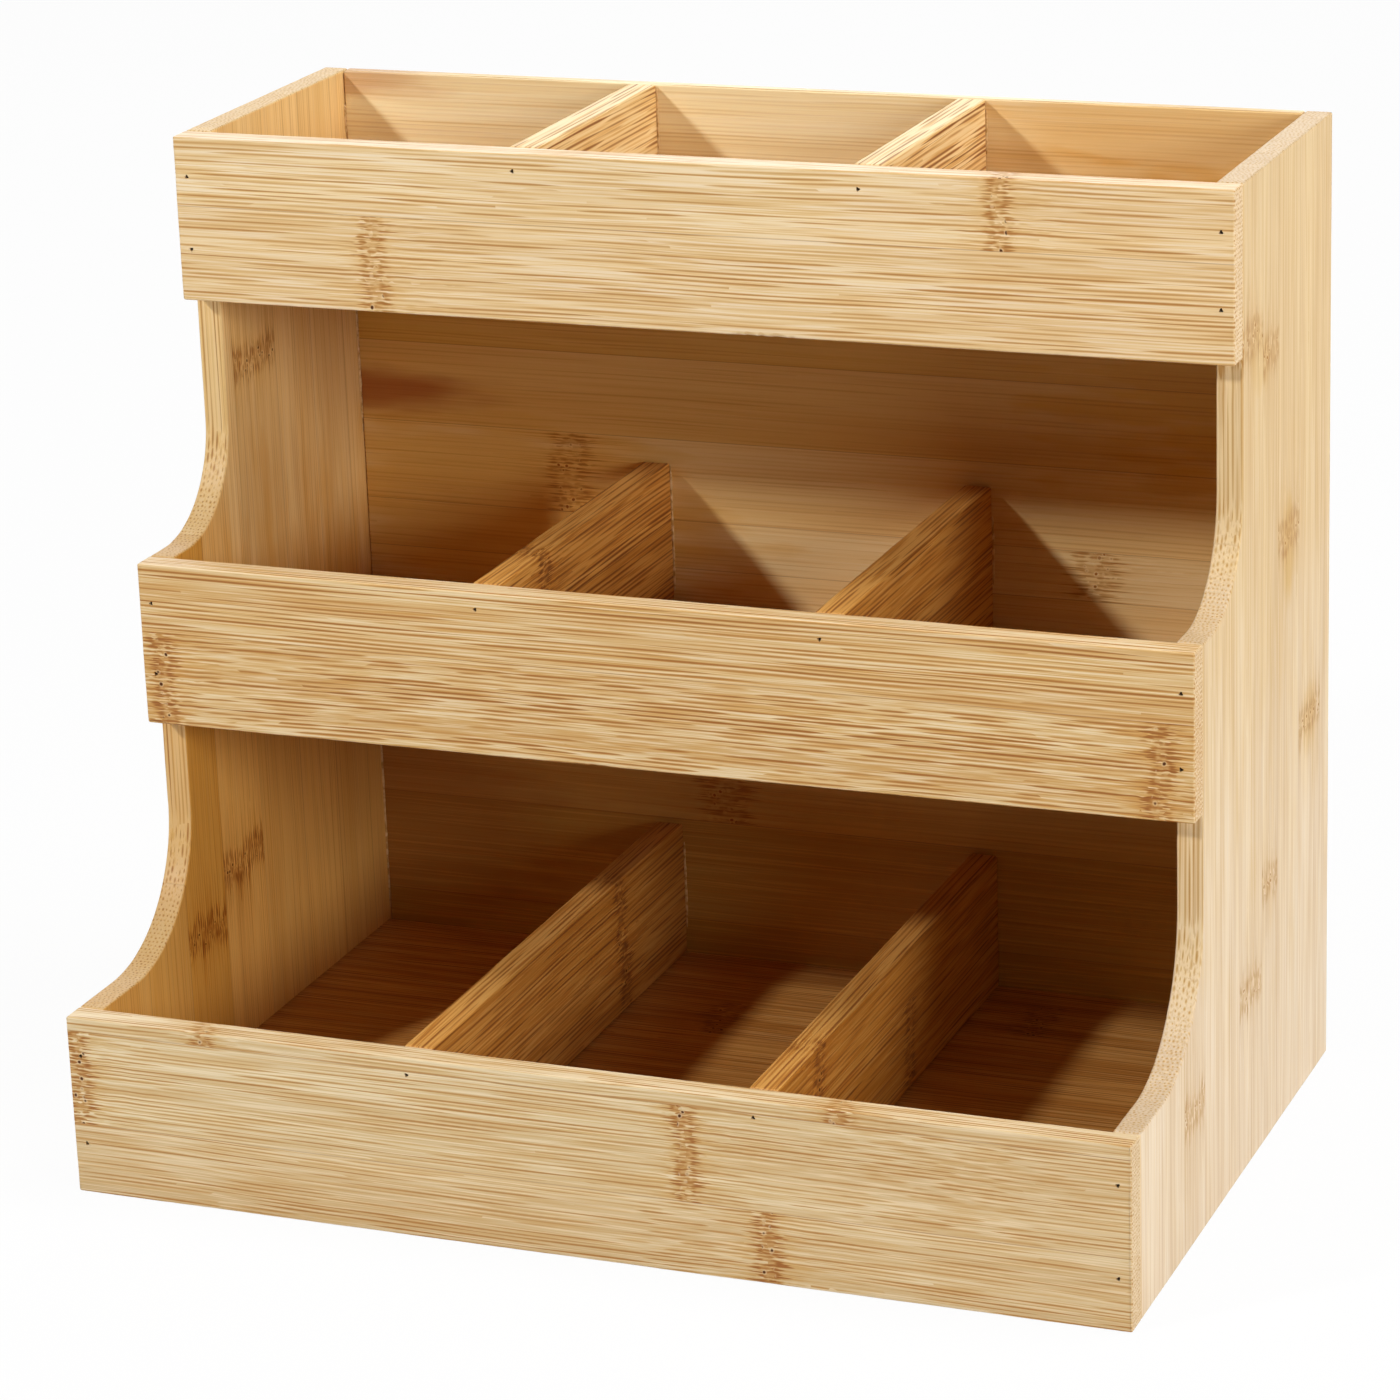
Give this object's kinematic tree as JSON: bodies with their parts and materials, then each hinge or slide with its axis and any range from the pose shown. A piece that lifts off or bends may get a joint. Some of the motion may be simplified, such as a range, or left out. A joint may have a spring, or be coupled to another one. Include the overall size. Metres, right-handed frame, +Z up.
{
  "type": "tea bag organizer",
  "caption": "Stepped bamboo organizer with tiered open compartments behind nailed fascia boards, coved side panels and fixed dividers, for tea bags and sachets.",
  "frame": {"origin": "middle of the base, on the surface that the organizer stands on, halfway along its width and its depth", "axes": "+X along the width, to the right seen from the front; +Y from the fascias to the back panel; +Z up"},
  "size_m": [0.31, 0.2, 0.2825],
  "materials": {
    "fascia_bamboo": "satin clear finish, grain along the board",
    "side_bamboo": "satin clear finish, upright grain",
    "divider_bamboo": "satin clear finish, grain front to back",
    "floor_bamboo": "satin clear finish, grain across",
    "back_bamboo": "satin clear finish, grain across",
    "brad_steel": "dark sunk heads"
  },
  "bodies": {
    "root": {"side_left": "side_bamboo", "side_right": "side_bamboo", "back_panel": "back_bamboo", "fascia_bottom": "fascia_bamboo", "fascia_middle": "fascia_bamboo", "fascia_top": "fascia_bamboo", "floor_bottom": "floor_bamboo", "floor_middle": "floor_bamboo", "floor_top": "floor_bamboo", "divider_bottom_left": "divider_bamboo", "divider_bottom_right": "divider_bamboo", "divider_middle_left": "divider_bamboo", "divider_middle_right": "divider_bamboo", "divider_top_left": "divider_bamboo", "divider_top_right": "divider_bamboo", "brad_bottom_left_upper": "brad_steel", "brad_bottom_left_lower": "brad_steel", "brad_bottom_right_upper": "brad_steel", "brad_bottom_right_lower": "brad_steel", "brad_bottom_divider_left": "brad_steel", "brad_bottom_divider_right": "brad_steel", "brad_middle_left_upper": "brad_steel", "brad_middle_left_lower": "brad_steel", "brad_middle_right_upper": "brad_steel", "brad_middle_right_lower": "brad_steel", "brad_middle_divider_left": "brad_steel", "brad_middle_divider_right": "brad_steel", "brad_top_left_upper": "brad_steel", "brad_top_left_lower": "brad_steel", "brad_top_right_upper": "brad_steel", "brad_top_right_lower": "brad_steel", "brad_top_divider_left": "brad_steel", "brad_top_divider_right": "brad_steel"}
  },
  "joints": []
}
